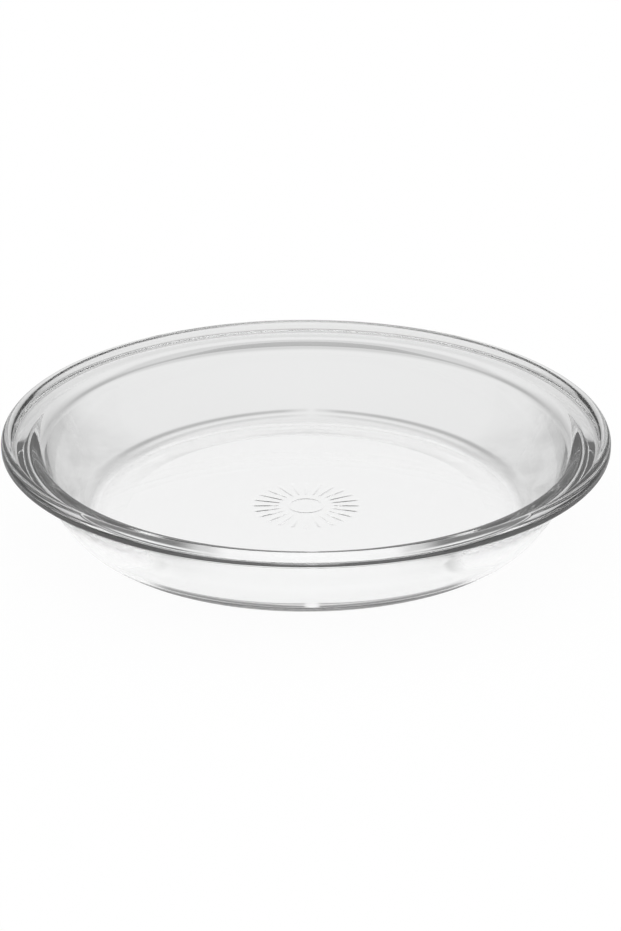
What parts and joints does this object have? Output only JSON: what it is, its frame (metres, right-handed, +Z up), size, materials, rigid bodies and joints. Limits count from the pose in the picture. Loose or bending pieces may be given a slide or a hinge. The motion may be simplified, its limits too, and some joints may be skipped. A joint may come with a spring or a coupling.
{
  "type": "pie dish",
  "caption": "Round shallow pie dish of clear pressed glass, with sloped sides, a flat ledge inside a raised rounded bead round the rim, and a recessed foot with a faint ray pattern.",
  "frame": {"origin": "centre of the foot, on the surface that the dish stands on", "axes": "+Z up along the dish's axis, out of its mouth; +X and +Y are any two directions square to it"},
  "size_m": [0.248, 0.248, 0.0384],
  "materials": {
    "clear_glass": "fire-polished clear pressed glass"
  },
  "bodies": {
    "root": {"glass_dish": "clear_glass"}
  },
  "joints": []
}
